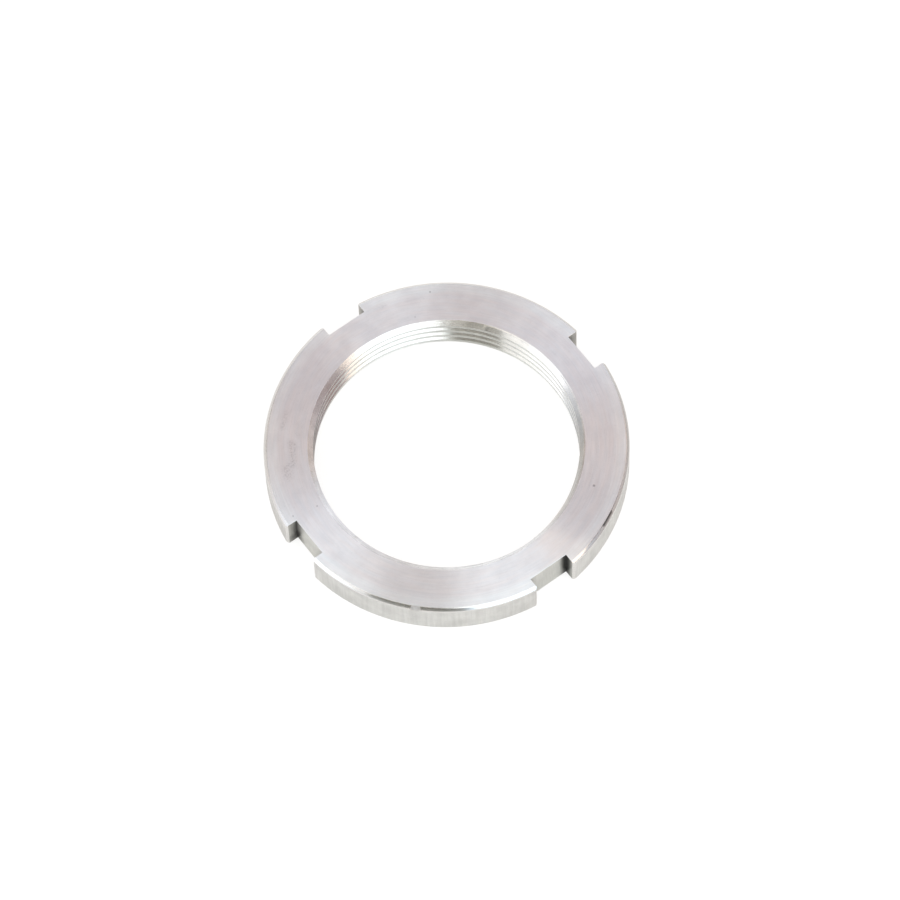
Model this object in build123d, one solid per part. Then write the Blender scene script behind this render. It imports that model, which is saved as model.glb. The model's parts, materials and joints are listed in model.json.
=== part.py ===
from build123d import *
import os
from math import radians, tan

# Slotted round lock nut for the threaded body of a coilover damper.
# Millimetres. The origin is the centre of the bottom face, and +Z runs along the thread's axis.
# Two of the four slots lie on the X axis and two on the Y axis.

# Driving dimensions
THREAD_MAJOR_DIAMETER = 55.0
THREAD_PITCH = 2.0
RING_WIDTH = 8.75
THICKNESS = 8.0
SLOT_COUNT = 4
SLOT_WIDTH = 8.7
SLOT_DEPTH = 2.75
SLOT_EDGE_BREAK = 0.25
TOP_CHAMFER = 0.65
BOTTOM_CHAMFER = 0.25
COUNTERSINK_ANGLE = 120.0
BOTTOM_COUNTERSINK_WIDTH = 0.6

# An internal 60 degree thread's minor diameter is its major diameter less this many pitches
MINOR_DIAMETER_PITCHES = 1.0825

# How far a slot's cutter runs out past the rim
CUTTER_OVERRUN = 2.0

# Radii from the thread outwards. The plain bore stands at the thread's crests, the bottom
# countersink is a light lead-in, and the top one opens to the thread's full diameter.
THREAD_RADIUS = THREAD_MAJOR_DIAMETER / 2
BORE_RADIUS = THREAD_RADIUS - MINOR_DIAMETER_PITCHES * THREAD_PITCH / 2
BOTTOM_MOUTH_RADIUS = BORE_RADIUS + BOTTOM_COUNTERSINK_WIDTH
TOP_MOUTH_RADIUS = THREAD_RADIUS
OUTER_RADIUS = THREAD_RADIUS + RING_WIDTH
SLOT_FLOOR_RADIUS = OUTER_RADIUS - SLOT_DEPTH


def countersink_depth(mouth_radius):
    """Depth of a countersink that opens the bore to a mouth of this radius."""
    return (mouth_radius - BORE_RADIUS) / tan(radians(COUNTERSINK_ANGLE / 2))


def ring_section():
    """Half section of the ring, as radius and height, from the bottom mouth round to the bore."""
    return [
        (BOTTOM_MOUTH_RADIUS, 0),
        (OUTER_RADIUS - BOTTOM_CHAMFER, 0),
        (OUTER_RADIUS, BOTTOM_CHAMFER),
        (OUTER_RADIUS, THICKNESS - TOP_CHAMFER),
        (OUTER_RADIUS - TOP_CHAMFER, THICKNESS),
        (TOP_MOUTH_RADIUS, THICKNESS),
        (BORE_RADIUS, THICKNESS - countersink_depth(TOP_MOUTH_RADIUS)),
        (BORE_RADIUS, countersink_depth(BOTTOM_MOUTH_RADIUS)),
    ]


def turned_ring():
    """The ring as it leaves the lathe: faces, rim chamfers, bore and countersinks."""
    section = make_face(Polyline(*ring_section(), close=True))
    return revolve(Plane.XZ * section, Axis.Z)


def slot_cutters():
    """Bars that cut the spanner slots from face to face, each leaving a flat floor."""
    length = SLOT_DEPTH + CUTTER_OVERRUN
    bar = extrude(Rectangle(length, SLOT_WIDTH), THICKNESS)
    places = PolarLocations(SLOT_FLOOR_RADIUS + length / 2, SLOT_COUNT)
    return [place * bar for place in places]


def slot_edges(nut):
    """The straight edges, where the slots' floors and sides meet the two faces."""
    levels = nut.faces().sort_by(Axis.Z)
    return (levels[0].edges() + levels[-1].edges()).filter_by(GeomType.LINE)


def make_lock_nut():
    """The finished nut, one solid."""
    nut = turned_ring() - slot_cutters()
    nut = chamfer(slot_edges(nut), length=SLOT_EDGE_BREAK)
    nut.label = "lock_nut"
    return nut


os.makedirs("parts", exist_ok=True)
export_step(make_lock_nut(), "parts/lock_nut.step")
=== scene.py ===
"""Looks of a slotted coilover lock nut: turned and milled bare aluminium on a pale floor."""

import json
import logging
import math
from dataclasses import dataclass
from enum import Enum

import bmesh
import bpy
from mathutils import Matrix, Vector


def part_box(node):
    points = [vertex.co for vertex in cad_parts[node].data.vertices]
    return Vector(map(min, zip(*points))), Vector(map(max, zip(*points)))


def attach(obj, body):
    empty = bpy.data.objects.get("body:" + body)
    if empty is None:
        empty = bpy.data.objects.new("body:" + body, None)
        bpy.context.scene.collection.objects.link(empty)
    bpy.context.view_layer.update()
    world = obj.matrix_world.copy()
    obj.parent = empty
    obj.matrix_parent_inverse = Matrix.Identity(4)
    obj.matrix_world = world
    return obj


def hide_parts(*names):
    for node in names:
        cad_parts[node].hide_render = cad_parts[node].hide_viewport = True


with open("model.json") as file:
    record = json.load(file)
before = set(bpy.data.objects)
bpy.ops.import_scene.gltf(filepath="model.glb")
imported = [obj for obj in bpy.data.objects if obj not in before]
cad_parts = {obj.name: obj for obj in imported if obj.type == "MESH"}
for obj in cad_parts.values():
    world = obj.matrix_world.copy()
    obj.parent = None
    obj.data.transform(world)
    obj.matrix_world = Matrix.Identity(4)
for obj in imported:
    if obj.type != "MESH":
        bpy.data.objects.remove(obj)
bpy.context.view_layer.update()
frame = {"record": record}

log = logging.getLogger("lock_nut")

MM = 0.001
FULL_TURN = 2 * math.pi
FLANK_SLOPE = math.tan(math.radians(30))

# How many tool marks follow each other in one radian round the nut
ARCS_PER_RADIAN = 6.0

# How much closer an upright mark's noise changes across it than along it
UPRIGHT_SQUEEZE = 0.05

# How many broad bands, soft patches and fine specks lie in a metre
BANDS_PER_METRE = 1100.0
PATCHES_PER_METRE = 260.0
SPECKS_PER_METRE = 2600.0

# The part of each noise that a finish uses, from its low end to its high end
LINE_RANGE = (0.3, 0.7)
PATCH_RANGE = (0.35, 0.65)
DARK_SPECK_RANGE = (0.25, 0.4)
FLECK_SPECK_RANGE = (0.36, 0.62)
FLECK_LINE_RANGE = (0.34, 0.66)

# The share of a blemish's or painted shade spot's size within which it has its full strength
SPOT_CORE = 0.35

# How far away a wall still shelters a corner, and how open the places are where the painted corner
# shade is full and where it ends
SHELTER_REACH = 2.8 * MM
OPENNESS = (0.5, 0.95)
SHELTER_SAMPLES = 8

# Samples that soften the look of edges
EDGE_SAMPLES = 6

# Radii from which the face is burnished beside the rim, and at which it is so in full
BURNISHED_RADII = (32.9 * MM, 34.2 * MM)

# Tint of the warm blotches, where the cool ones have the opposite one
BLUSH_TINT = (2.0, 1.0, 0.4)
UNTINTED = (1.0, 1.0, 1.0)

# Distances below which points are merged, before the cuts and after them
TOUCHING = 0.0001 * MM
SLIVER = 0.002 * MM

# Segments of the rounded edges
LATHE_EDGE_STEPS = 2
RIM_EDGE_STEPS = 4

# How far the cutters run out past the metal, and the tap's turns beyond both faces
SLOT_OVERRUN = 3 * MM
FLARE_OVERRUN = 1 * MM
TAP_OVERRUN = 0.4 * MM
SPARE_TURNS = 2

# Half the side of the bars that break the slots' upright corners
CORNER_BAR_HALF = 1 * MM

# Where faces meet at more than this angle, the edge is sharp
SHARP_ANGLE = math.radians(24)

# Parts of a face's normal that tell level, slanting and upright surfaces apart
LEVEL = 0.95
SQUARE_ON = 0.9
HALF_SQUARE = 0.5
SLANTING = 0.2

# How near a face's middle lies to the surface that it belongs to
NEAR_SURFACE = 0.02 * MM
NEAR_CONE = 0.03 * MM

Colour = tuple[float, float, float]
Socket = bpy.types.NodeSocket

# The room's colour against the sine of the elevation
ROOM_LEVELS: list[tuple[float, Colour]] = [
    (0.0, (0.59, 0.64, 0.67)),
    (0.2, (1.15, 1.05, 0.98)),
    (0.36, (1.03, 1.08, 1.08)),
    (0.5, (0.36, 0.36, 0.36)),
    (0.68, (0.98, 0.8, 0.68)),
    (0.85, (1.1, 1.06, 0.98)),
    (1.0, (1.4, 1.45, 1.45)),
]


class Surface(Enum):
    """The nut's surfaces, each by the index of its material on the piece."""

    FACE = 0
    RIM = 1
    CHAMFER = 2
    COUNTERSINK = 3
    SLOT_FLOOR = 4
    SLOT_SIDE = 5
    CREST = 6
    FLANK = 7


class Grain(Enum):
    """Which way a surface's tool marks run."""

    ROUND_ON_FACE = "round the axis, on a face or a cone"
    ROUND_ON_WALL = "round the axis, on an upright wall"
    UPRIGHT = "along the axis"


class NodeSketch:
    """A short way to write a material's or the world's nodes.

    Args:
        tree: The node tree to draw in. It is emptied first.
    """

    def __init__(self, tree: bpy.types.NodeTree) -> None:
        """Keeps the tree and empties it."""
        self.tree = tree
        tree.nodes.clear()

    def add(self, kind: str, inputs: dict | None = None, **settings: object) -> bpy.types.Node:
        """Adds a node.

        Args:
            kind: The node's type name.
            inputs: A value or a socket for each input, by the input's name or number.
            **settings: The node's own properties.

        Returns:
            The new node.
        """
        node = self.tree.nodes.new(kind)
        for name, value in settings.items():
            setattr(node, name, value)
        for name, value in (inputs or {}).items():
            if isinstance(value, Socket):
                self.tree.links.new(value, node.inputs[name])
            else:
                node.inputs[name].default_value = value
        return node

    def math(self, operation: str, first: Socket | float, second: Socket | float) -> Socket:
        """A Math node's result for two numbers."""
        return self.add("ShaderNodeMath", {0: first, 1: second}, operation=operation).outputs[0]

    def vector(self, operation: str, first: Socket, second: Socket | tuple) -> Socket:
        """A Vector Math node's vector for two vectors."""
        return self.add("ShaderNodeVectorMath", {0: first, 1: second}, operation=operation).outputs[0]

    def measure(self, operation: str, first: Socket, second: Socket | tuple) -> Socket:
        """A Vector Math node's number for two vectors."""
        inputs = {0: first, 1: second}
        return self.add("ShaderNodeVectorMath", inputs, operation=operation).outputs["Value"]

    def unit(self, vector: Socket) -> Socket:
        """The vector, made one long."""
        return self.add("ShaderNodeVectorMath", {0: vector}, operation="NORMALIZE").outputs[0]

    def changed(self, base: Socket | Colour, change: Colour, share: Socket) -> Socket:
        """The base with a share of the change added to it."""
        inputs = {0: share, 1: change, 2: base}
        return self.add("ShaderNodeVectorMath", inputs, operation="MULTIPLY_ADD").outputs[0]

    def mix(self, share: Socket, first: Socket, second: Socket) -> Socket:
        """A shader that is the first at share 0 and the second at share 1."""
        inputs = {0: share, 1: first, 2: second}
        return self.add("ShaderNodeMixShader", inputs).outputs[0]

    def blend(self, share: Socket, tint: Colour) -> Socket:
        """A factor that goes from white to a tint.

        Args:
            share: 0 where it is white and 1 where it is the tint.
            tint: The tint.

        Returns:
            The factor.
        """
        return self.changed(UNTINTED, tuple(channel - 1 for channel in tint), share)

    def place(self) -> Socket:
        """The point on the piece, in metres from the piece's origin."""
        return self.add("ShaderNodeTexCoord").outputs["Object"]

    def flat(self) -> Socket:
        """The point with its height left out."""
        return self.vector("MULTIPLY", self.place(), (1.0, 1.0, 0.0))

    def radius(self) -> Socket:
        """The point's distance from the axis, in metres."""
        return self.measure("DISTANCE", self.flat(), (0.0, 0.0, 0.0))

    def noise(self, place: Socket, per_metre: float, detail: float) -> Socket:
        """Soft noise from 0 to 1, with about this many blotches in a metre."""
        inputs = {"Vector": place, "Scale": per_metre, "Detail": detail}
        return self.add("ShaderNodeTexNoise", inputs).outputs["Fac"]

    def band(self, value: Socket, low: float, high: float, start: float, end: float) -> Socket:
        """Maps a value from one range onto another, held at the ends.

        Args:
            value: The value to map.
            low: The value that gives start.
            high: The value that gives end.
            start: The result at low.
            end: The result at high.

        Returns:
            The mapped value.
        """
        inputs = {"Value": value, "From Min": low, "From Max": high, "To Min": start, "To Max": end}
        return self.add("ShaderNodeMapRange", inputs).outputs["Result"]


def new_material(name: str) -> tuple[bpy.types.Material, NodeSketch]:
    """Makes an empty material.

    Args:
        name: The material's name.

    Returns:
        The material, and the sketch of its nodes.
    """
    material = bpy.data.materials.new(name)
    material.use_nodes = True
    return material, NodeSketch(material.node_tree)


def in_scene(name: str, bm: bmesh.types.BMesh) -> bpy.types.Object:
    """Turns a bmesh into an object.

    Args:
        name: The name of the object and of its mesh.
        bm: The finished bmesh, which is freed.

    Returns:
        The object, linked to the scene.
    """
    mesh = bpy.data.meshes.new(name)
    bm.to_mesh(mesh)
    bm.free()
    made = bpy.data.objects.new(name, mesh)
    bpy.context.scene.collection.objects.link(made)
    return made


@dataclass(frozen=True)
class Marks:
    """The noises that a finish is drawn from, each from 0 to 1.

    Args:
        lines: Fine tool marks.
        waves: Broad bands along the tool marks.
        patches: Soft patches.
        specks: Fine specks.
    """

    lines: Socket
    waves: Socket
    patches: Socket
    specks: Socket


@dataclass(frozen=True)
class BlemishOrPaintedShade:
    """A pit, a dent, a smudge or a scuff in the metal, or a spot of painted shade.

    Args:
        radius: Its distance from the axis.
        bearing: Angle from +X, in degrees.
        height: Height above the bottom face.
        size: How far it reaches from its middle, or from its middle line.
        darkness: How much darker it is in the middle, 0 to 1.
        dullness: Roughness that it adds in the middle.
        flecked: Whether it breaks up into specks.
        length: Length of its middle line, zero for a round one.
        upright: Whether its middle line stands upright and doesn't run round the nut.
    """

    radius: float
    bearing: float
    height: float
    size: float
    darkness: float = 0.0
    dullness: float = 0.0
    flecked: bool = False
    length: float = 0.0
    upright: bool = False

    def mask(self, sketch: NodeSketch, place: Socket, marks: Marks) -> Socket:
        """How strong it is at a point.

        Args:
            sketch: The material's nodes.
            place: The point on the piece.
            marks: The noises of the tool marks and the specks.

        Returns:
            1 in its middle and 0 outside it.
        """
        turn = math.radians(self.bearing)
        middle = (self.radius * math.cos(turn), self.radius * math.sin(turn), self.height)
        run = (0.0, 0.0, 1.0) if self.upright else (-math.sin(turn), math.cos(turn), 0.0)
        offset = sketch.vector("SUBTRACT", place, middle)
        along = sketch.measure("DOT_PRODUCT", offset, run)
        half = self.length / 2
        held = sketch.math("MAXIMUM", sketch.math("MINIMUM", along, half), -half)
        nearest = sketch.vector("MULTIPLY", held, run)
        away = sketch.measure("DISTANCE", offset, nearest)
        strength = sketch.band(away, SPOT_CORE * self.size, self.size, 1.0, 0.0)
        if self.flecked:
            specks = sketch.band(marks.specks, *FLECK_SPECK_RANGE, 0.0, 1.0)
            lines = sketch.band(marks.lines, *FLECK_LINE_RANGE, 0.0, 1.0)
            strength = sketch.math("MULTIPLY", strength, specks)
            strength = sketch.math("MULTIPLY", strength, lines)
        return strength


@dataclass(frozen=True)
class MetalFinish:
    """Bare aluminium with the fine marks that a tool left on it.

    Args:
        name: The material's name.
        grain: Which way the marks run.
        colour: The metal's own colour.
        roughness: Mean roughness.
        stretch: How much wider highlights spread across the marks than along them, 0 to 1.
        line_depth: Bump height of the marks, in metres.
        lines_per_metre: How many marks lie in a metre across them.
        wave_depth: Bump height of the broad bands that run with the marks, in metres.
        speck_depth: Bump height of fine specks, in metres.
        mottle: How far roughness and tone wander between patches.
        blush: How far the tint wanders between warm and cool blotches.
        lean: Slope that the marks' outer sides add to the surface, outward from the axis.
        painted_corner_shade: How dark the inner corners are painted, as shade, 0 to 1.
        burnish: Tint of the lighter band beside the rim.
        edge_radius: How far the look of edges is rounded, in metres.
        blemishes_and_painted_shade: Its pits, dents, smudges and scuffs, and its spots of painted
            shade.
    """

    name: str
    grain: Grain
    colour: Colour = (0.9, 0.895, 0.89)
    roughness: float = 0.35
    stretch: float = 0.8
    line_depth: float = 0.004 * MM
    lines_per_metre: float = 4000.0
    wave_depth: float = 0.0
    speck_depth: float = 0.001 * MM
    mottle: float = 0.06
    blush: float = 0.0
    lean: float = 0.0
    painted_corner_shade: float = 0.0
    burnish: Colour = UNTINTED
    edge_radius: float = 0.05 * MM
    blemishes_and_painted_shade: tuple[BlemishOrPaintedShade, ...] = ()

    def build(self) -> bpy.types.Material:
        """Makes the material.

        Returns:
            The finished material.
        """
        material, sketch = new_material(self.name)
        place = sketch.place()
        along_lines = self.stretched(sketch, place, self.lines_per_metre)
        along_bands = self.stretched(sketch, place, BANDS_PER_METRE)
        marks = Marks(
            lines=sketch.noise(along_lines, per_metre=1.0, detail=3.0),
            waves=sketch.noise(along_bands, per_metre=1.0, detail=2.0),
            patches=sketch.noise(place, per_metre=PATCHES_PER_METRE, detail=4.0),
            specks=sketch.noise(place, per_metre=SPECKS_PER_METRE, detail=3.0),
        )
        spots = [(spot, spot.mask(sketch, place, marks)) for spot in self.blemishes_and_painted_shade]
        shader = sketch.add(
            "ShaderNodeBsdfPrincipled",
            {
                "Base Color": self.tone(sketch, marks, spots),
                "Metallic": 1.0,
                "Roughness": self.gloss(sketch, marks, spots),
                "Anisotropic": self.stretch,
                "Tangent": self.spread(sketch, place),
                "Normal": self.relief(sketch, marks),
            },
        )
        sketch.add("ShaderNodeOutputMaterial", {"Surface": shader.outputs[0]})
        return material

    def stretched(self, sketch: NodeSketch, place: Socket, per_metre: float) -> Socket:
        """The point, scaled so that noise on it is drawn out along the tool marks.

        Args:
            sketch: The material's nodes.
            place: The point on the piece.
            per_metre: How many marks lie in a metre across them.

        Returns:
            The scaled point.
        """
        if self.grain is Grain.UPRIGHT:
            return sketch.vector("MULTIPLY", place, (per_metre, per_metre, per_metre * UPRIGHT_SQUEEZE))
        parts = sketch.add("ShaderNodeSeparateXYZ", {0: place}).outputs
        across = sketch.radius() if self.grain is Grain.ROUND_ON_FACE else parts[2]
        arcs = (ARCS_PER_RADIAN, ARCS_PER_RADIAN, 0.0)
        turn = sketch.vector("MULTIPLY", sketch.unit(sketch.flat()), arcs)
        rise = sketch.add("ShaderNodeCombineXYZ", {2: sketch.math("MULTIPLY", across, per_metre)})
        return sketch.vector("ADD", turn, rise.outputs[0])

    def spread(self, sketch: NodeSketch, place: Socket) -> Socket:
        """The direction across the tool marks, in which highlights spread.

        Args:
            sketch: The material's nodes.
            place: The point on the piece.

        Returns:
            A vector in the world's axes.
        """
        parts = sketch.add("ShaderNodeSeparateXYZ", {0: place}).outputs
        if self.grain is Grain.ROUND_ON_WALL:
            across = sketch.add("ShaderNodeCombineXYZ", {2: 1.0}).outputs[0]
        elif self.grain is Grain.ROUND_ON_FACE:
            across = sketch.add("ShaderNodeCombineXYZ", {0: parts[0], 1: parts[1]}).outputs[0]
        else:
            back = sketch.math("MULTIPLY", parts[1], -1.0)
            across = sketch.add("ShaderNodeCombineXYZ", {0: back, 1: parts[0]}).outputs[0]
        turned = sketch.add(
            "ShaderNodeVectorTransform", {0: across},
            vector_type="VECTOR", convert_from="OBJECT", convert_to="WORLD",
        ).outputs[0]
        return sketch.unit(turned)

    def tone(self, sketch: NodeSketch, marks: Marks, spots: list[tuple[BlemishOrPaintedShade, Socket]]) -> Socket:
        """The metal's colour, darker in marks, patches, specks and blemishes, with painted shade in
        inner corners and in painted dark spots.

        Args:
            sketch: The material's nodes.
            marks: The noises of the tool marks, the patches and the specks.
            spots: Each blemish or painted shade spot with its strength.

        Returns:
            The colour.
        """
        lined = sketch.band(marks.lines, *LINE_RANGE, 1 - self.mottle, 1.0)
        patchy = sketch.band(marks.patches, *PATCH_RANGE, -self.mottle, self.mottle / 2)
        specked = sketch.band(marks.specks, *DARK_SPECK_RANGE, -self.mottle, 0.0)
        shade = sketch.math("ADD", sketch.math("ADD", lined, patchy), specked)
        # Painted shade: inner corners are darkened by how far the piece itself shelters them
        if self.painted_corner_shade:
            openness = sketch.add(
                "ShaderNodeAmbientOcclusion", {"Distance": SHELTER_REACH},
                samples=SHELTER_SAMPLES, only_local=True,
            ).outputs["AO"]
            corner_darkening = sketch.band(openness, *OPENNESS, 1 - self.painted_corner_shade, 1.0)
            shade = sketch.math("MULTIPLY", shade, corner_darkening)
        # Blemishes darken the colour, and so do the spots of painted shade among them
        for spot, strength in spots:
            loss = sketch.band(strength, 0.0, 1.0, 1.0, 1 - spot.darkness)
            shade = sketch.math("MULTIPLY", shade, loss)
        tinted = sketch.vector("MULTIPLY", shade, self.colour)
        if self.blush:
            warmth = sketch.band(marks.waves, *PATCH_RANGE, -self.blush, self.blush)
            tinted = sketch.vector("MULTIPLY", tinted, sketch.blend(warmth, BLUSH_TINT))
        if self.burnish != UNTINTED:
            beside_rim = sketch.band(sketch.radius(), *BURNISHED_RADII, 0.0, 1.0)
            tinted = sketch.vector("MULTIPLY", tinted, sketch.blend(beside_rim, self.burnish))
        return tinted

    def gloss(self, sketch: NodeSketch, marks: Marks, spots: list[tuple[BlemishOrPaintedShade, Socket]]) -> Socket:
        """Roughness, which wanders a little between patches and lines and rises in dull spots.

        Args:
            sketch: The material's nodes.
            marks: The noises of the tool marks, the patches and the specks.
            spots: Each blemish or painted shade spot with its strength.

        Returns:
            The roughness.
        """
        low, high = self.roughness * (1 - self.mottle), self.roughness * (1 + self.mottle)
        patchy = sketch.band(marks.patches, *PATCH_RANGE, low, high)
        lined = sketch.band(marks.lines, *LINE_RANGE, 1 + self.mottle, 1 - self.mottle)
        rough = sketch.math("MULTIPLY", patchy, lined)
        for spot, strength in spots:
            if spot.dullness:
                gain = sketch.band(strength, 0.0, 1.0, 0.0, spot.dullness)
                rough = sketch.math("ADD", rough, gain)
        return rough

    def relief(self, sketch: NodeSketch, marks: Marks) -> Socket:
        """The surface's normal, with soft edges, the tool marks, the broad bands and the specks.

        Args:
            sketch: The material's nodes.
            marks: The noises of the tool marks, the patches and the specks.

        Returns:
            The normal.
        """
        edges = sketch.add("ShaderNodeBevel", {"Radius": self.edge_radius}, samples=EDGE_SAMPLES)
        lines = sketch.math("MULTIPLY", marks.lines, self.line_depth)
        specks = sketch.math("MULTIPLY", marks.specks, self.speck_depth)
        height = sketch.math("ADD", lines, specks)
        if self.wave_depth:
            waves = sketch.math("MULTIPLY", marks.waves, self.wave_depth)
            height = sketch.math("ADD", height, waves)
        if self.lean:
            fall = sketch.math("MULTIPLY", sketch.radius(), self.lean)
            height = sketch.math("SUBTRACT", height, fall)
        inputs = {"Strength": 1.0, "Distance": 1.0, "Height": height, "Normal": edges.outputs[0]}
        return sketch.add("ShaderNodeBump", inputs).outputs[0]


@dataclass
class LockNut:
    """The nut: a turned ring with four milled slots and a tapped thread, all one piece.

    Args:
        name: The piece's name.
        crest_radius: Radius of the thread's crests, the CAD bore's radius.
        thickness: Height of the nut.
        finishes: The finish of each surface.
        pitch: The thread's pitch.
        crest_width: Height of the flat on the thread's crests.
        mouth_width: Radial width of the upper countersink.
        ring_width: From the upper mouth to the rim.
        slot_width: Width of a spanner slot.
        slot_depth: Depth of a spanner slot below the rim.
        slot_count: How many slots there are, the first along +X.
        top_chamfer: Rim chamfer at the top face.
        bottom_chamfer: Rim chamfer at the bottom face.
        countersink_slope: Tangent of the countersinks' angle to the axis.
        bottom_countersink_width: Radial width of the lower countersink.
        edge_break: Size of the slots' broken edges.
        corner_break: Size of the broken upright corners where the slots meet the rim.
        lathe_edge: Rounding of the turned edges.
        rim_edge: Rounding of the rim chamfers' edges.
        thread_phase: Bearing from +X at which a groove's middle leaves the top face, in radians.
        steps: Segments in a full turn.
    """

    name: str
    crest_radius: float
    thickness: float
    finishes: dict[Surface, MetalFinish]
    pitch: float = 2.0 * MM
    crest_width: float = 0.85 * MM
    mouth_width: float = 1.0825 * MM
    ring_width: float = 8.75 * MM
    slot_width: float = 8.7 * MM
    slot_depth: float = 2.75 * MM
    slot_count: int = 4
    top_chamfer: float = 0.65 * MM
    bottom_chamfer: float = 0.25 * MM
    countersink_slope: float = math.tan(math.radians(60))
    bottom_countersink_width: float = 0.6 * MM
    edge_break: float = 0.04 * MM
    corner_break: float = 0.5 * MM
    lathe_edge: float = 0.02 * MM
    rim_edge: float = 0.2 * MM
    thread_phase: float = math.radians(45)
    steps: int = 360

    def __post_init__(self) -> None:
        """Works out the thread's root and the radii that follow from its crests."""
        self.root_width = self.pitch / 8
        flank_height = (self.pitch - self.crest_width - self.root_width) / 2
        self.root_radius = self.crest_radius + flank_height / FLANK_SLOPE
        self.mouth_radius = self.crest_radius + self.mouth_width
        self.outer_radius = self.mouth_radius + self.ring_width
        self.slot_floor = self.outer_radius - self.slot_depth

    def build(self) -> bpy.types.Object:
        """Models, cuts and dresses the nut.

        Returns:
            The finished piece, at the origin, with its place in its mesh.
        """
        nut = self.solid("ring", self.turn_ring())
        cutters = [self.solid("slot_cutters", self.slot_cutters()),
                   self.solid("corner_cutters", self.corner_cutters()),
                   self.solid("tap", self.tap())]
        for cutter in cutters:
            self.cut(nut, cutter)
        nut.name = self.name
        nut.data.name = self.name
        self.clean(nut.data)
        self.dress(nut)
        return nut

    def solid(self, name: str, bm: bmesh.types.BMesh) -> bpy.types.Object:
        """Closes a bmesh into an object with its faces outward.

        Args:
            name: The object's name.
            bm: The finished bmesh, which is freed.

        Returns:
            The object, linked to the scene.
        """
        bmesh.ops.remove_doubles(bm, verts=bm.verts, dist=TOUCHING)
        bmesh.ops.recalc_face_normals(bm, faces=bm.faces)
        return in_scene(name, bm)

    def section(self) -> list[Vector]:
        """Half section of the ring, from the bottom mouth round to the bore.

        Returns:
            The section's corners, in the upright plane through +X.
        """
        top, out = self.thickness, self.outer_radius
        bottom_mouth = self.crest_radius + self.bottom_countersink_width
        corners = [
            (bottom_mouth, 0.0),
            (out - self.bottom_chamfer, 0.0),
            (out, self.bottom_chamfer),
            (out, top - self.top_chamfer),
            (out - self.top_chamfer, top),
            (self.mouth_radius, top),
            (self.crest_radius, top - self.mouth_width / self.countersink_slope),
            (self.crest_radius, self.bottom_countersink_width / self.countersink_slope),
        ]
        return [Vector((radius, 0.0, height)) for radius, height in corners]

    def turn_ring(self) -> bmesh.types.BMesh:
        """The ring as it leaves the lathe, its section spun about the axis.

        Returns:
            The closed ring.
        """
        bm = bmesh.new()
        corners = [bm.verts.new(point) for point in self.section()]
        bm.faces.new(corners)
        at_rim = [corner for corner in corners
                  if corner.co.x > self.slot_floor and corner.co.z > self.thickness / 2]
        rest = [corner for corner in corners if corner not in at_rim]
        for chosen, size, segments in (
            (rest, self.lathe_edge, LATHE_EDGE_STEPS), (at_rim, self.rim_edge, RIM_EDGE_STEPS),
        ):
            bmesh.ops.bevel(bm, geom=chosen, offset=size, segments=segments, profile=0.5,
                            affect="VERTICES", material=-1)
        bmesh.ops.delete(bm, geom=bm.faces[:], context="FACES_ONLY")
        bmesh.ops.spin(bm, geom=bm.verts[:] + bm.edges[:], cent=(0, 0, 0), axis=(0, 0, 1),
                       angle=FULL_TURN, steps=self.steps, use_merge=True)
        return bm

    def repeat_for_slots(self, bm: bmesh.types.BMesh) -> bmesh.types.BMesh:
        """Copies what was made for the slot on +X to the other slots.

        Args:
            bm: What was made for the first slot.

        Returns:
            The same bmesh, with the copies.
        """
        copies = self.slot_count - 1
        bmesh.ops.spin(bm, geom=bm.verts[:] + bm.edges[:] + bm.faces[:], cent=(0, 0, 0),
                       axis=(0, 0, 1), angle=FULL_TURN * copies / self.slot_count, steps=copies,
                       use_duplicate=True)
        return bm

    def slot_cutters(self) -> bmesh.types.BMesh:
        """Bars that cut the slots and, where they flare, break the slots' edges at both faces.

        Returns:
            The closed bars.
        """
        bm = bmesh.new()
        length = self.slot_depth + SLOT_OVERRUN
        height = self.thickness - 2 * self.edge_break
        flare = self.edge_break + FLARE_OVERRUN
        middle = Vector((self.slot_floor + length / 2, 0, self.thickness / 2))
        shape = Matrix.Diagonal((length, self.slot_width, height, 1))
        bmesh.ops.create_cube(bm, size=1, matrix=Matrix.Translation(middle) @ shape)
        bm.normal_update()
        ends = [face for face in bm.faces if abs(face.normal.z) > LEVEL]
        grow = Vector((1 + 2 * flare / length, 1 + 2 * flare / self.slot_width, 1))
        for end in ends:
            side = math.copysign(flare, end.normal.z)
            grown = bmesh.ops.extrude_face_region(bm, geom=[end])["geom"]
            moved = [item for item in grown if isinstance(item, bmesh.types.BMVert)]
            bmesh.ops.scale(bm, vec=grow, verts=moved, space=Matrix.Translation(-middle))
            bmesh.ops.translate(bm, vec=(0, 0, side), verts=moved)
        bmesh.ops.delete(bm, geom=[end for end in ends if end.is_valid], context="FACES_ONLY")
        return self.repeat_for_slots(bm)

    def corner_cutters(self) -> bmesh.types.BMesh:
        """Small bars that break the upright corners where the slots meet the rim.

        Returns:
            The closed bars.
        """
        bm = bmesh.new()
        half = self.slot_width / 2
        bearing = math.asin(half / self.outer_radius)
        side_length = 2 * CORNER_BAR_HALF
        shape = Matrix.Diagonal((side_length, side_length, 2 * self.thickness, 1))
        for side in (1, -1):
            rim = Vector((math.cos(bearing), side * math.sin(bearing), 0))
            out = (rim - Vector((0, side, 0))).normalized()
            centre = rim * self.outer_radius + Vector((0, 0, self.thickness / 2))
            centre += out * (CORNER_BAR_HALF - self.corner_break * math.sqrt(0.5))
            turn = Matrix.Rotation(math.atan2(out.y, out.x), 4, "Z")
            bmesh.ops.create_cube(bm, size=1, matrix=Matrix.Translation(centre) @ turn @ shape)
        return self.repeat_for_slots(bm)

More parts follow.
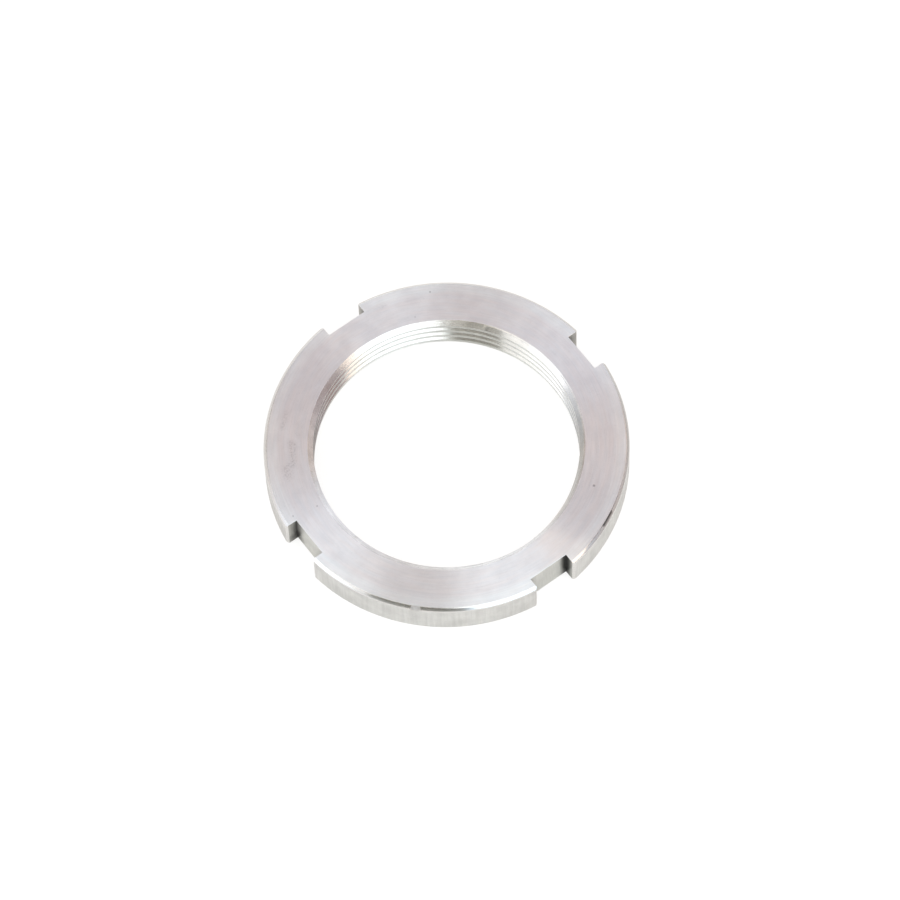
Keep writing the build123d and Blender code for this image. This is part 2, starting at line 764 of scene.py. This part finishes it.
    def tap(self) -> bmesh.types.BMesh:
        """A helical ridge with the thread groove's section, longer than the nut at both ends.

        Returns:
            The closed ridge.
        """
        bm = bmesh.new()
        turns = math.ceil(self.thickness / self.pitch) + SPARE_TURNS
        root_half = self.root_width / 2
        inner = self.crest_radius - TAP_OVERRUN
        inner_half = root_half + (self.root_radius - inner) * FLANK_SLOPE
        start = self.thickness - (turns - 1) * self.pitch
        outline = [(inner, -inner_half), (self.root_radius, -root_half),
                   (self.root_radius, root_half), (inner, inner_half)]
        corners = [bm.verts.new((radius, 0, start + height)) for radius, height in outline]
        for one, other in zip(corners, corners[1:] + corners[:1]):
            bm.edges.new((one, other))
        bmesh.ops.rotate(bm, cent=(0, 0, 0), verts=bm.verts,
                         matrix=Matrix.Rotation(self.thread_phase, 3, "Z"))
        bmesh.ops.spin(bm, geom=bm.verts[:] + bm.edges[:], cent=(0, 0, 0), axis=(0, 0, 1),
                       dvec=(0, 0, self.pitch / self.steps), angle=FULL_TURN * turns,
                       steps=self.steps * turns, use_merge=False)
        ends = [edge for edge in bm.edges if edge.is_boundary]
        bmesh.ops.holes_fill(bm, edges=ends, sides=0)
        return bm

    def cut(self, nut: bpy.types.Object, cutter: bpy.types.Object) -> None:
        """Takes a cutter's shape out of the nut and removes the cutter.

        Args:
            nut: The piece that is cut.
            cutter: The closed shape to take out of it.
        """
        difference = nut.modifiers.new("cut", "BOOLEAN")
        difference.operation = "DIFFERENCE"
        difference.solver = "EXACT"
        difference.object = cutter
        shaped = bpy.data.meshes.new_from_object(
            nut.evaluated_get(bpy.context.evaluated_depsgraph_get()))
        nut.modifiers.clear()
        nut.data = shaped
        bpy.data.objects.remove(cutter)

    def clean(self, mesh: bpy.types.Mesh) -> None:
        """Merges doubles, drops slivers and makes the cut mesh's faces point outward.

        Args:
            mesh: The cut mesh.
        """
        bm = bmesh.new()
        bm.from_mesh(mesh)
        bmesh.ops.remove_doubles(bm, verts=bm.verts, dist=SLIVER)
        bmesh.ops.dissolve_degenerate(bm, edges=bm.edges, dist=SLIVER)
        bmesh.ops.triangulate(bm, faces=[face for face in bm.faces if len(face.verts) > 4])
        bmesh.ops.recalc_face_normals(bm, faces=bm.faces)
        open_edges = sum(1 for edge in bm.edges if not edge.is_manifold)
        log.info("%s: %d faces, %d open edges", self.name, len(bm.faces), open_edges)
        bm.to_mesh(mesh)
        bm.free()

    def dress(self, nut: bpy.types.Object) -> None:
        """Gives each face its surface's finish, and shades smooth between sharp edges.

        Args:
            nut: The finished solid.
        """
        mesh = nut.data
        mesh.materials.clear()
        for surface in Surface:
            mesh.materials.append(self.finishes[surface].build())
        for face in mesh.polygons:
            face.material_index = self.surface_of(face.center, face.normal).value
        mesh.polygons.foreach_set("use_smooth", [True] * len(mesh.polygons))
        mesh.set_sharp_from_angle(angle=SHARP_ANGLE)
        weighted = nut.modifiers.new("even_shading", "WEIGHTED_NORMAL")
        weighted.keep_sharp = True

    def surface_of(self, centre: Vector, normal: Vector) -> Surface:
        """Tells which surface a face belongs to.

        Args:
            centre: The face's middle.
            normal: The face's outward normal.

        Returns:
            The surface.
        """
        radius = math.hypot(centre.x, centre.y)
        rise = abs(normal.z)
        outward = (normal.x * centre.x + normal.y * centre.y) / radius
        if rise > LEVEL:
            return Surface.FACE
        if radius > (self.mouth_radius + self.slot_floor) / 2:
            if outward > SQUARE_ON and radius > self.outer_radius - NEAR_SURFACE:
                return Surface.RIM
            if rise > SLANTING or HALF_SQUARE < outward < SQUARE_ON:
                return Surface.CHAMFER
            return Surface.SLOT_FLOOR if outward > SQUARE_ON else Surface.SLOT_SIDE
        if rise < SLANTING:
            on_crest = radius < self.crest_radius + NEAR_SURFACE
            return Surface.CREST if on_crest else Surface.FLANK
        slope = 1 / self.countersink_slope
        top = self.thickness - (self.mouth_radius - radius) * slope
        bottom = (self.crest_radius + self.bottom_countersink_width - radius) * slope
        cone = top if normal.z > 0 else bottom
        return Surface.COUNTERSINK if abs(centre.z - cone) < NEAR_CONE else Surface.FLANK


@dataclass(frozen=True)
class PhotoCamera:
    """The camera, set by where it stands from the middle of the nut's top face.

    Args:
        distance: From the middle of the top face.
        elevation: Angle above the floor, in degrees.
        bearing: Angle from +X to the camera, seen from above, in degrees.
        roll: How far the picture is turned counterclockwise, in degrees.
        lens: Focal length, in millimetres.
        middle: Where the middle of the top face shows, in pixels of the picture.
        sensor: Width of the sensor, in millimetres.
        picture: Side of the square picture, in pixels.
        nearest: Distance from which things show, in metres.
    """

    distance: float = 1.1325
    elevation: float = 64.237
    bearing: float = -124.195
    roll: float = 2.586
    lens: float = 229.016
    middle: tuple[float, float] = (446.38, 443.71)
    sensor: float = 36.0
    picture: int = 900
    nearest: float = 0.01

    def build(self, centre: Vector) -> bpy.types.Object:
        """Places the camera and makes it the scene's camera.

        Args:
            centre: The middle of the top face.

        Returns:
            The camera's object.
        """
        data = bpy.data.cameras.new("photo_camera")
        data.lens = self.lens
        data.sensor_width = self.sensor
        data.clip_start = self.nearest
        camera = bpy.data.objects.new("photo_camera", data)
        bpy.context.scene.collection.objects.link(camera)
        stand = centre + self.distance * toward(self.bearing, self.elevation)
        right, up = self.level_axes(centre - stand)
        per_pixel = self.distance * self.sensor / (self.lens * self.picture)
        half = self.picture / 2
        turn = math.radians(self.roll)
        right, up = (right * math.cos(turn) - up * math.sin(turn),
                     right * math.sin(turn) + up * math.cos(turn))
        aim = centre - right * (self.middle[0] - half) * per_pixel
        aim += up * (self.middle[1] - half) * per_pixel
        ahead = (aim - stand).normalized()
        right = (right - ahead * right.dot(ahead)).normalized()
        up = right.cross(ahead)
        camera.matrix_world = Matrix((
            (right.x, up.x, -ahead.x, stand.x),
            (right.y, up.y, -ahead.y, stand.y),
            (right.z, up.z, -ahead.z, stand.z),
            (0, 0, 0, 1),
        ))
        bpy.context.scene.camera = camera
        return camera

    def level_axes(self, ahead: Vector) -> tuple[Vector, Vector]:
        """The level axis to the right of a line of sight, and the upright axis square to both."""
        right = ahead.cross(Vector((0, 0, 1))).normalized()
        return right, right.cross(ahead).normalized()


def toward(bearing: float, elevation: float) -> Vector:
    """The direction at a bearing from +X and an elevation, both in degrees."""
    flat, tilt = math.radians(bearing), math.radians(elevation)
    return Vector((math.cos(flat) * math.cos(tilt), math.sin(flat) * math.cos(tilt), math.sin(tilt)))


@dataclass(frozen=True)
class Softbox:
    """A flat soft lamp that faces the nut.

    Args:
        name: The lamp's name.
        bearing: Angle from the camera's bearing, counterclockwise from above, in degrees.
        elevation: Angle above the floor, in degrees.
        width: Level side, as an angle in degrees.
        height: The other side, as an angle in degrees.
        brightness: Radiance of its face, where 1 is white.
        colour: The light's colour.
        lean: Tilt of its upright sides, clockwise as the nut sees it, in degrees.
        distance: From the nut, in metres.
    """

    name: str
    bearing: float
    elevation: float
    width: float
    height: float
    brightness: float
    colour: Colour = (1.0, 1.0, 1.0)
    lean: float = 0.0
    distance: float = 0.5

    def build(self, camera_bearing: float) -> bpy.types.Object:
        """Hangs the lamp.

        Args:
            camera_bearing: Angle from +X to the camera, in degrees.

        Returns:
            The lamp's object.
        """
        data = bpy.data.lights.new(self.name, "AREA")
        data.shape = "RECTANGLE"
        data.size = side_across(self.width, self.distance)
        data.size_y = side_across(self.height, self.distance)
        data.energy = self.brightness * math.pi * data.size * data.size_y
        data.color = self.colour
        lamp = bpy.data.objects.new(self.name, data)
        bpy.context.scene.collection.objects.link(lamp)
        bearing = camera_bearing + self.bearing
        lamp.matrix_world = facing_nut(bearing, self.elevation, self.distance, self.lean)
        lamp.visible_camera = False
        return lamp


@dataclass(frozen=True)
class Card:
    """A flat card that faces the nut and shows only in its reflections.

    Args:
        name: The card's name.
        bearing: Angle from the camera's bearing, counterclockwise from above, in degrees.
        elevation: Angle above the floor, in degrees.
        before: Angle from its middle to its side with the lower bearing, in degrees.
        after: Angle from its middle to its side with the higher bearing, in degrees.
        height: Its other side, as an angle in degrees.
        start_colour: Its colour at the side with the lower bearing.
        end_colour: Its colour from the end of the fade to the side with the higher bearing.
        fade: Share of its width over which the first colour turns into the second.
        start_lean: Tilt of the side with the lower bearing, which widens the top, in degrees.
        end_lean: Tilt of the side with the higher bearing, which narrows the top, in degrees.
        distance: From the nut, in metres.
    """

    name: str
    bearing: float
    elevation: float
    before: float
    after: float
    height: float
    start_colour: Colour
    end_colour: Colour
    fade: float = 1.0
    start_lean: float = 0.0
    end_lean: float = 0.0
    distance: float = 0.6

    def build(self, camera_bearing: float) -> bpy.types.Object:
        """Hangs the card.

        Args:
            camera_bearing: Angle from +X to the camera, in degrees.

        Returns:
            The card's object.
        """
        bm = bmesh.new()
        bmesh.ops.create_grid(bm, x_segments=1, y_segments=1, size=0.5)
        start = -self.distance * math.tan(math.radians(self.before))
        end = self.distance * math.tan(math.radians(self.after))
        width = end - start
        bmesh.ops.scale(bm, vec=(width, side_across(self.height, self.distance), 1), verts=bm.verts)
        bmesh.ops.translate(bm, vec=((start + end) / 2, 0, 0), verts=bm.verts)
        at_start = [corner for corner in bm.verts if corner.co.x < 0]
        at_end = [corner for corner in bm.verts if corner.co.x > 0]
        for corners, lean in ((at_start, self.start_lean), (at_end, self.end_lean)):
            slant = Matrix.Identity(4)
            slant[0][1] = -math.tan(math.radians(lean))
            bmesh.ops.transform(bm, matrix=slant, verts=corners)
        card = in_scene(self.name, bm)
        bearing = camera_bearing + self.bearing
        card.matrix_world = facing_nut(bearing, self.elevation, self.distance, 0.0)
        card.visible_camera = card.visible_diffuse = card.visible_shadow = False
        material, sketch = new_material(self.name)
        along = sketch.add("ShaderNodeSeparateXYZ", {0: sketch.place()}).outputs[0]
        share = sketch.band(along, start, start + self.fade * width, 0.0, 1.0)
        tint = tuple(last / first for first, last in zip(self.start_colour, self.end_colour))
        shade = sketch.vector("MULTIPLY", sketch.blend(share, tint), self.start_colour)
        felt = sketch.add("ShaderNodeBsdfDiffuse", {"Color": shade}).outputs[0]
        sketch.add("ShaderNodeOutputMaterial", {"Surface": felt})
        card.data.materials.append(material)
        return card


@dataclass(frozen=True)
class RoomPatch:
    """A round part of the room that is lighter or darker than the rest.

    Args:
        bearing: Angle from the camera's bearing, counterclockwise from above, in degrees.
        elevation: Angle above the floor, in degrees.
        inner: Angle from its middle within which it has its full strength, in degrees.
        outer: Angle from its middle at which it ends, in degrees.
        change: What it adds to the room's colour, below zero where it is darker.
    """

    bearing: float
    elevation: float
    inner: float
    outer: float
    change: Colour

    def over(self, sketch: NodeSketch, walls: Socket, way: Socket, camera_bearing: float) -> Socket:
        """Adds the patch to the room's colour.

        Args:
            sketch: The world's nodes.
            walls: The room's colour so far.
            way: The direction.
            camera_bearing: Angle from +X to the camera, in degrees.

        Returns:
            The room's colour with the patch.
        """
        middle = toward(camera_bearing + self.bearing, self.elevation)
        near = sketch.measure("DOT_PRODUCT", way, middle)
        edge, full = math.cos(math.radians(self.outer)), math.cos(math.radians(self.inner))
        return sketch.changed(walls, self.change, sketch.band(near, edge, full, 0.0, 1.0))


def side_across(angle: float, distance: float) -> float:
    """The length that spans an angle in degrees at a distance."""
    return 2 * distance * math.tan(math.radians(angle / 2))


def facing_nut(bearing: float, elevation: float, distance: float, lean: float) -> Matrix:
    """A place at a bearing and an elevation, turned so that its front faces the nut.

    Args:
        bearing: Angle from +X, in degrees.
        elevation: Angle above the floor, in degrees.
        distance: From the nut, in metres.
        lean: Turn about the line to the nut, in degrees.

    Returns:
        The place's matrix.
    """
    away = toward(bearing, elevation)
    turn = away.to_track_quat("Z", "Y").to_matrix().to_4x4()
    return Matrix.Translation(away * distance) @ turn @ Matrix.Rotation(math.radians(lean), 4, "Z")


@dataclass(frozen=True)
class FloorLook:
    """How the floor looks to one kind of ray: matt paint that may glow a little.

    Args:
        paint: Lightness of the paint.
        glow: Colour of the glow, where 1 is white.
    """

    paint: float
    glow: Colour = (0.0, 0.0, 0.0)


@dataclass
class Studio:
    """A pale floor, soft lamps, cards and a soft grey room.

    Args:
        camera_bearing: Angle from +X to the camera, in degrees.
        lamps: The soft lamps.
        cards: The cards.
        patches: The lighter and darker parts of the room.
        floor_size: Side of the floor, in metres.
        floor_tint: Colour of the floor's paint against its lightness.
        plain_floor: The floor as it lights the nut.
        shown_floor: The floor as the camera sees it.
        mirrored_floor: The floor as the metal mirrors it.
        glow_end_bearing: Where the mirrored glow ends, counterclockwise from the camera's bearing.
        glow_end: Where that glow starts to fade and where it ends, in metres from the nut's axis.
    """

    camera_bearing: float
    lamps: list[Softbox]
    cards: list[Card]
    patches: list[RoomPatch]
    floor_size: float = 6.0
    floor_tint: Colour = (1.0, 0.99, 0.96)
    plain_floor: FloorLook = FloorLook(paint=0.8)
    shown_floor: FloorLook = FloorLook(paint=0.3, glow=(0.8, 0.8, 0.8))
    mirrored_floor: FloorLook = FloorLook(paint=0.56, glow=(0.32, 0.31, 0.3))
    glow_end_bearing: float = 116.0
    glow_end: tuple[float, float] = (0.04, 0.1)

    def build(self) -> None:
        """Sets the floor, the lamps and the room."""
        for item in (*self.lamps, *self.cards):
            item.build(self.camera_bearing)
        self.floor()
        self.room()

    def floor(self) -> bpy.types.Object:
        """The pale floor, which stays white where nothing shades it.

        Returns:
            The floor's object.
        """
        bm = bmesh.new()
        bmesh.ops.create_grid(bm, x_segments=1, y_segments=1, size=self.floor_size / 2)
        floor = in_scene("floor", bm)
        material, sketch = new_material("pale_floor")
        rays = sketch.add("ShaderNodeLightPath").outputs
        plain = self.floor_shade(sketch, self.plain_floor.paint, self.plain_floor.glow)
        shown = self.floor_shade(sketch, self.shown_floor.paint, self.shown_floor.glow)
        mirrored = self.floor_shade(sketch, self.mirrored_floor.paint, self.mirrored_glow(sketch))
        unseen = sketch.mix(rays["Is Glossy Ray"], plain, mirrored)
        mixed = sketch.mix(rays["Is Camera Ray"], unseen, shown)
        sketch.add("ShaderNodeOutputMaterial", {"Surface": mixed})
        floor.data.materials.append(material)
        return floor

    def mirrored_glow(self, sketch: NodeSketch) -> Socket:
        """The glow of the mirrored floor, which ends on the right, beyond the nut.

        Args:
            sketch: The floor's nodes.

        Returns:
            The colour.
        """
        onward = tuple(toward(self.camera_bearing + self.glow_end_bearing, 0))
        along = sketch.measure("DOT_PRODUCT", sketch.place(), onward)
        share = sketch.band(along, *self.glow_end, 1.0, 0.0)
        return sketch.vector("MULTIPLY", share, self.mirrored_floor.glow)

    def floor_shade(self, sketch: NodeSketch, paint: float, glow: Colour | Socket) -> Socket:
        """A matt paint that also glows a little.

        Args:
            sketch: The floor's nodes.
            paint: Lightness of the paint.
            glow: Colour of the glow, where 1 is white, the same all over or from nodes.

        Returns:
            The shader.
        """
        tint = tuple(paint * channel for channel in self.floor_tint)
        matt = sketch.add("ShaderNodeBsdfDiffuse", {"Color": (*tint, 1.0)}).outputs[0]
        colour = glow if isinstance(glow, Socket) else (*glow, 1.0)
        lit = sketch.add("ShaderNodeEmission", {"Color": colour, "Strength": 1.0}).outputs[0]
        return sketch.add("ShaderNodeAddShader", {0: matt, 1: lit}).outputs[0]

    def room(self) -> None:
        """Builds the room: soft grey with its patches, and white where the camera sees it."""
        world = bpy.data.worlds.new("room")
        bpy.context.scene.world = world
        world.use_nodes = True
        sketch = NodeSketch(world.node_tree)
        way = sketch.add("ShaderNodeTexCoord").outputs["Generated"]
        height = sketch.add("ShaderNodeSeparateXYZ", {0: way}).outputs[2]
        ramp = sketch.add("ShaderNodeValToRGB", {0: height})
        stops = ramp.color_ramp.elements
        for position, _ in ROOM_LEVELS[1:-1]:
            stops.new(position)
        for stop, (_, colour) in zip(stops, ROOM_LEVELS):
            stop.color = (*colour, 1.0)
        walls = ramp.outputs[0]
        for patch in self.patches:
            walls = patch.over(sketch, walls, way, self.camera_bearing)
        rays = sketch.add("ShaderNodeLightPath").outputs
        dim, white = (
            sketch.add("ShaderNodeBackground", {"Color": colour, "Strength": 1.0}).outputs[0]
            for colour in (walls, (1, 1, 1, 1))
        )
        mixed = sketch.mix(rays["Is Camera Ray"], dim, white)
        sketch.add("ShaderNodeOutputWorld", {"Surface": mixed})


def face_blemishes(top: float) -> tuple[BlemishOrPaintedShade, ...]:
    """The pits and smudges on the top face.

    Args:
        top: Height of the top face.

    Returns:
        The blemishes.
    """
    pits = [
        BlemishOrPaintedShade(33.94 * MM, 59.0, top, size=0.22 * MM, darkness=0.5),
        BlemishOrPaintedShade(28.88 * MM, 66.0, top, size=0.16 * MM, darkness=0.45),
        BlemishOrPaintedShade(30.57 * MM, 305.5, top, size=0.34 * MM, darkness=0.5),
        BlemishOrPaintedShade(33.93 * MM, 170.7, top, size=0.24 * MM, darkness=0.3),
        BlemishOrPaintedShade(28.77 * MM, 171.2, top, size=0.24 * MM, darkness=0.35),
    ]
    smudges = [
        BlemishOrPaintedShade(29.3 * MM, 137.0, top, size=1.1 * MM, darkness=0.15, flecked=True, length=2 * MM),
        BlemishOrPaintedShade(30.5 * MM, 147.2, top, size=1.1 * MM, darkness=0.3, flecked=True, length=4.5 * MM),
        BlemishOrPaintedShade(31.9 * MM, 154.0, top, size=1.5 * MM, darkness=0.26, flecked=True, length=2 * MM),
        BlemishOrPaintedShade(32.7 * MM, 133.9, top, size=0.8 * MM, darkness=0.18, flecked=True, length=3.5 * MM),
        BlemishOrPaintedShade(33.3 * MM, 76.9, top, size=0.9 * MM, darkness=0.13, flecked=True, length=1.5 * MM),
        BlemishOrPaintedShade(30.8 * MM, 188.7, top, size=0.5 * MM, darkness=0.1, flecked=True, length=2 * MM),
    ]
    return (*pits, *smudges)


def slot_corner_shade_spots() -> tuple[BlemishOrPaintedShade, ...]:
    """Painted shade in the inner corners of the two slots at the front.

    Returns:
        The spots of painted shade.
    """
    return (
        BlemishOrPaintedShade(33.8 * MM, 277.4, 3.8 * MM, size=1.6 * MM, darkness=0.8, length=6.5 * MM, upright=True),
        BlemishOrPaintedShade(33.8 * MM, 172.6, 1.5 * MM, size=2.4 * MM, darkness=0.55),
    )


def thread_shade_spot() -> BlemishOrPaintedShade:
    """Painted shade on the thread at the left of the view, standing in for a darker reflection there.
    """
    return BlemishOrPaintedShade(26.6 * MM, 145.0, 4 * MM, size=5 * MM, darkness=0.4, length=8 * MM)


def crest_shade_spot() -> BlemishOrPaintedShade:
    """Fainter painted shade beside it, on the thread's crests only."""
    return BlemishOrPaintedShade(26.4 * MM, 118.0, 4 * MM, size=5 * MM, darkness=0.2, length=5 * MM)


def edge_dent() -> BlemishOrPaintedShade:
    """The short dark dent on the rim chamfer's inner edge, at the right of the photo."""
    return BlemishOrPaintedShade(35.65 * MM, 295.9, 7.95 * MM, size=0.6 * MM, darkness=0.75, length=3 * MM)


def finishes(top: float) -> dict[Surface, MetalFinish]:
    """The finish of each of the nut's surfaces.

    Args:
        top: Height of the top face.

    Returns:
        The finishes.
    """
    nick = BlemishOrPaintedShade(36.0 * MM, 223.8, 7.6 * MM, size=1.1 * MM, dullness=0.6)
    return {
        Surface.FACE: MetalFinish(
            "faced_aluminium", Grain.ROUND_ON_FACE, colour=(0.87, 0.87, 0.87), roughness=0.36,
            stretch=1.0, lean=0.1, line_depth=0.003 * MM, wave_depth=0.012 * MM, blush=0.012,
            burnish=(1.06, 1.09, 1.085), blemishes_and_painted_shade=face_blemishes(top),
        ),
        Surface.RIM: MetalFinish(
            "rim_aluminium", Grain.UPRIGHT, colour=(0.82, 0.82, 0.812), roughness=0.36,
            stretch=0.6, lines_per_metre=1800.0, mottle=0.1,
        ),
        Surface.CHAMFER: MetalFinish(
            "chamfer_aluminium", Grain.ROUND_ON_FACE, roughness=0.2, stretch=0.9, mottle=0.03,
            blemishes_and_painted_shade=(nick, edge_dent()),
        ),
        Surface.COUNTERSINK: MetalFinish(
            "countersink_aluminium", Grain.ROUND_ON_FACE, roughness=0.24, stretch=0.8,
            mottle=0.12, speck_depth=0.012 * MM, edge_radius=0.02 * MM,
        ),
        # Painted shade: the slot floor's inner corners are darkened, with painted dark spots there
        Surface.SLOT_FLOOR: MetalFinish(
            "milled_aluminium", Grain.UPRIGHT, colour=(0.84, 0.845, 0.82), roughness=0.35,
            stretch=0.3, mottle=0.1, painted_corner_shade=0.45, blemishes_and_painted_shade=slot_corner_shade_spots(),
        ),
        # Painted shade: the sides have a darker colour than the floor and strong painted corner shade
        Surface.SLOT_SIDE: MetalFinish(
            "milled_side_aluminium_with_painted_shade", Grain.UPRIGHT, colour=(0.7, 0.705, 0.68), roughness=0.35,
            stretch=0.3, mottle=0.14, painted_corner_shade=0.93, blemishes_and_painted_shade=slot_corner_shade_spots(),
        ),
        # The thread's crests and flanks carry painted shade spots at the left
        Surface.CREST: MetalFinish(
            "crest_aluminium", Grain.ROUND_ON_WALL, colour=(0.88, 0.885, 0.86), roughness=0.52,
            stretch=0.95, line_depth=0.002 * MM, blemishes_and_painted_shade=(thread_shade_spot(), crest_shade_spot()),
        ),
        Surface.FLANK: MetalFinish(
            "flank_aluminium", Grain.ROUND_ON_FACE, roughness=0.19, stretch=0.8,
            line_depth=0.001 * MM, blemishes_and_painted_shade=(thread_shade_spot(),),
        ),
    }


def softboxes() -> list[Softbox]:
    """The studio's lamps: two broad ones and a narrow warm one.

    Returns:
        The lamps.
    """
    return [
        Softbox("left_softbox", bearing=-64, elevation=36, width=36, height=52, brightness=0.64,
                lean=20),
        Softbox("right_softbox", bearing=31, elevation=38, width=40, height=52, brightness=1.23,
                colour=(0.83, 0.95, 1.0)),
        Softbox("warm_patch", bearing=62, elevation=32, width=12, height=40, brightness=1.4,
                colour=(1.0, 0.82, 0.63), lean=-12),
    ]


def cards() -> list[Card]:
    """The dark card at the camera's left, which darkens what mirrors the camera's side.

    Returns:
        The card, in a list.
    """
    return [
        Card("dark_card", bearing=-20, elevation=39, before=34, after=19, height=52, fade=0.47,
             start_lean=20, end_lean=22, start_colour=(0.76, 0.76, 0.75),
             end_colour=(0.22, 0.225, 0.2)),
    ]


def room_patches() -> list[RoomPatch]:
    """The lighter and darker parts of the room that show in the nut.

    Returns:
        The patches, of which the later ones lie over the earlier ones.
    """
    return [
        RoomPatch(bearing=180, elevation=0, inner=25, outer=60, change=(-0.18, -0.17, -0.14)),
        RoomPatch(bearing=180, elevation=4, inner=32, outer=46, change=(0.07, 0.06, 0.04)),
        RoomPatch(bearing=180, elevation=64, inner=12, outer=32, change=(-0.37, -0.4, -0.26)),
        RoomPatch(bearing=0, elevation=75, inner=10, outer=35, change=(-0.05, -0.15, -0.22)),
        RoomPatch(bearing=-40, elevation=60, inner=10, outer=25, change=(0.2, 0.08, -0.08)),
        RoomPatch(bearing=-65, elevation=38, inner=25, outer=50, change=(-0.03, 0.1, 0.2)),
        RoomPatch(bearing=31, elevation=38, inner=25, outer=50, change=(-0.26, -0.17, -0.08)),
        RoomPatch(bearing=-87, elevation=14, inner=10, outer=28, change=(0.08, 0.03, 0.04)),
        RoomPatch(bearing=-121, elevation=16, inner=13, outer=32, change=(-0.22, -0.24, -0.26)),
        RoomPatch(bearing=105, elevation=5, inner=20, outer=36, change=(-0.41, -0.45, -0.45)),
        RoomPatch(bearing=90, elevation=42, inner=7, outer=20, change=(-0.45, -0.45, -0.4)),
        RoomPatch(bearing=60, elevation=5, inner=8, outer=25, change=(-0.5, -0.5, -0.45)),
        RoomPatch(bearing=150, elevation=25, inner=8, outer=22, change=(0.12, 0.17, 0.26)),
        RoomPatch(bearing=-168, elevation=5, inner=6, outer=22, change=(0.34, 0.4, 0.44)),
        RoomPatch(bearing=122, elevation=38, inner=6, outer=18, change=(0.18, 0.1, 0.06)),
        RoomPatch(bearing=105, elevation=33, inner=6, outer=16, change=(0.12, 0.18, 0.24)),
    ]


def main() -> None:
    """Builds the nut, the camera and the studio, in that order."""
    logging.basicConfig(level=logging.INFO, format="%(name)s %(message)s")
    low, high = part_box("lock_nut")
    thread = next(mount for mount in frame["record"]["mounts"] if mount["name"] == "thread")
    crest_radius = thread["dims"]["r_mm"] * MM
    nut = LockNut("threaded_lock_nut", crest_radius, high.z - low.z, finishes(high.z)).build()
    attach(nut, "root")
    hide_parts("lock_nut")
    log.info("built %s with %d faces", nut.name, len(nut.data.polygons))
    camera = PhotoCamera()
    camera.build(Vector((0, 0, high.z)))
    Studio(camera.bearing, softboxes(), cards(), room_patches()).build()
    bpy.context.scene.view_settings.view_transform = "Standard"


if __name__ == "__main__":
    main()
